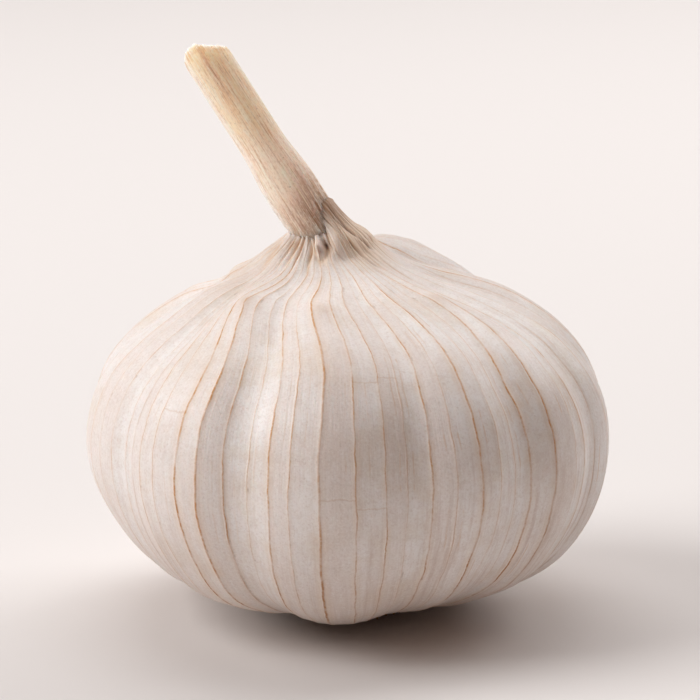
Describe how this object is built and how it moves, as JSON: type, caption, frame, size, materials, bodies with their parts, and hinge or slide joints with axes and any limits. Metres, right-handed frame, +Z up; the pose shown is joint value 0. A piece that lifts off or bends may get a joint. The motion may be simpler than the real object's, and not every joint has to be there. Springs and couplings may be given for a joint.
{
  "type": "garlic bulb",
  "caption": "Whole garlic bulb with a white papery skin over its cloves, a short dry stalk bent over at the neck and a trimmed root plate that it stands on.",
  "frame": {"origin": "middle of the trimmed flat face under the root plate, which the bulb stands on", "axes": "+Z up from the root plate towards the neck, -Y towards the front, +X to the right; the stalk leans to -X and slightly to +Y"},
  "size_m": [0.0596, 0.0605, 0.0657],
  "materials": {
    "skin": "dry papery skin with a satin sheen and thin tan veins",
    "stalk": "dry fibrous stalk, matt, tan with brown streaks",
    "root": "rough corky root plate, matt brown"
  },
  "bodies": {
    "root": {"bulb": "skin", "stem": "stalk", "root_plate": "root"}
  },
  "joints": []
}
